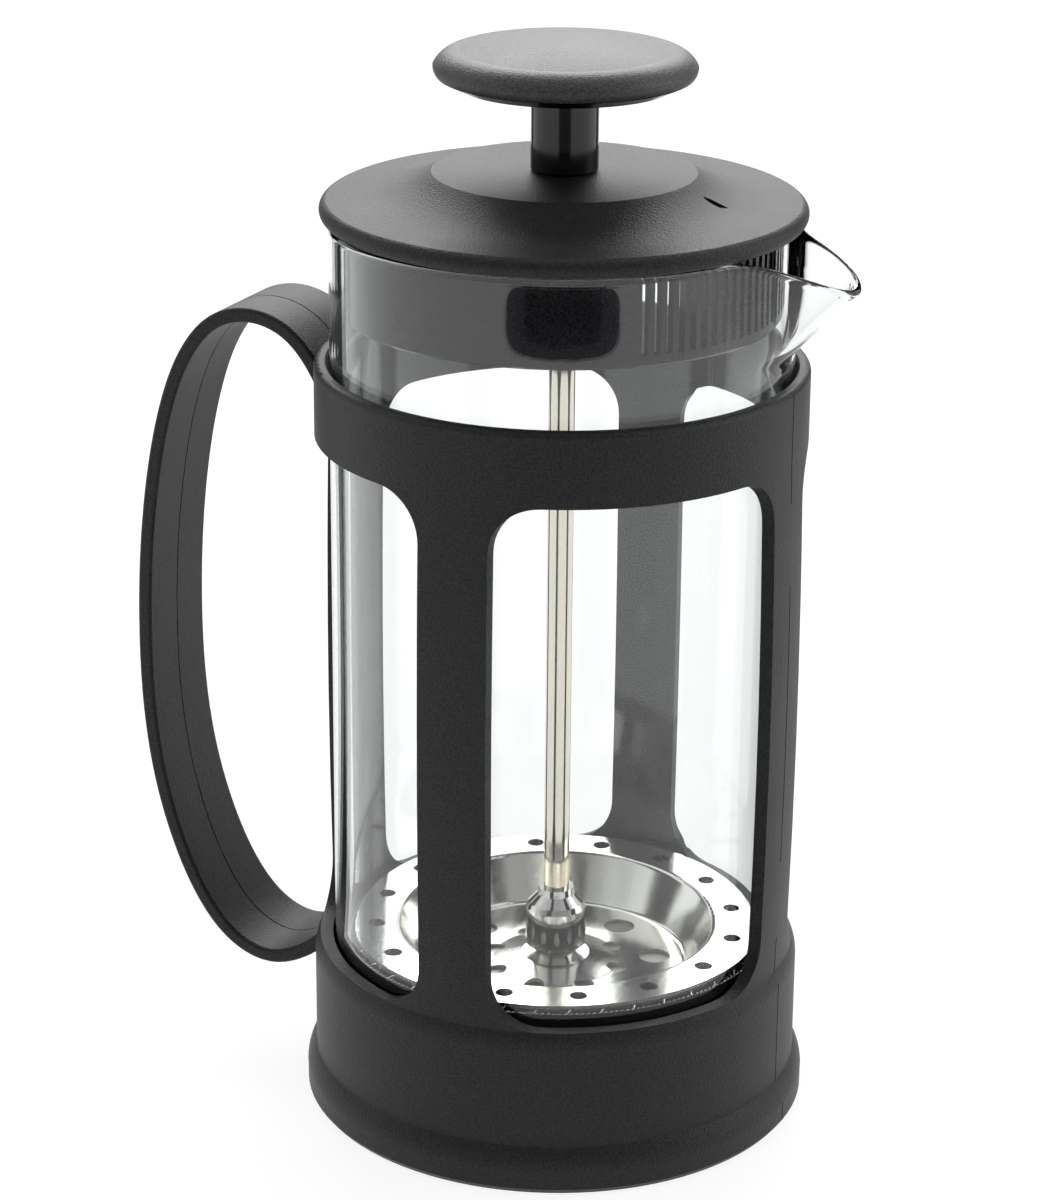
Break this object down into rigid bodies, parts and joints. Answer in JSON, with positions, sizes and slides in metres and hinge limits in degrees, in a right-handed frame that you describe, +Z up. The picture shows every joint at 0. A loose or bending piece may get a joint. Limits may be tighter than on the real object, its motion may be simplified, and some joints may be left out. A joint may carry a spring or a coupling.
{
  "type": "french press",
  "caption": "Small plunger coffee maker: glass beaker with a drooping spout in a black plastic frame with looped handle, lid with strainer, and a steel filter on a rod with a disc knob.",
  "frame": {"origin": "centre of the round foot, on the table plane", "axes": "+Z up along the pot's axis, +X towards the spout, handle towards -X"},
  "size_m": [0.1175, 0.0792, 0.1685],
  "materials": {
    "frame": "black textured polypropylene, fine matt grain",
    "beaker": "clear borosilicate glass",
    "lid": "black polypropylene, grained top, glossy skirt",
    "knob_cap": "black polypropylene, fine matt grain",
    "knob_stem": "black polypropylene, glossy",
    "knob_nut": "zinc-plated steel",
    "rod": "polished stainless steel",
    "hub_nut": "polished stainless steel",
    "top_plate": "pressed stainless sheet, satin to bright",
    "spiral_spring": "bright stainless wire",
    "mesh_screen": "woven stainless wire cloth",
    "cross_plate": "pressed stainless sheet",
    "cross_nut": "turned stainless steel"
  },
  "bodies": {
    "frame_body": {"frame": "frame"},
    "beaker_body": {"beaker": "beaker"},
    "lid_body": {"lid": "lid"},
    "plunger": {"knob_cap": "knob_cap", "knob_stem": "knob_stem", "knob_nut": "knob_nut", "rod": "rod", "hub_nut": "hub_nut", "top_plate": "top_plate", "spiral_spring": "spiral_spring", "mesh_screen": "mesh_screen", "cross_plate": "cross_plate", "cross_nut": "cross_nut"}
  },
  "joints": [
    {"name": "beaker_lift", "type": "slide", "parent": "frame_body", "child": "beaker_body", "axis": [0, 0, 1], "range_m": [0, 0.12]},
    {"name": "lid_lift", "type": "slide", "parent": "beaker_body", "child": "lid_body", "axis": [0, 0, 1], "range_m": [0, 0.13]},
    {"name": "plunger_slide", "type": "slide", "parent": "lid_body", "child": "plunger", "axis": [0, 0, 1], "range_m": [0, 0.099]}
  ]
}
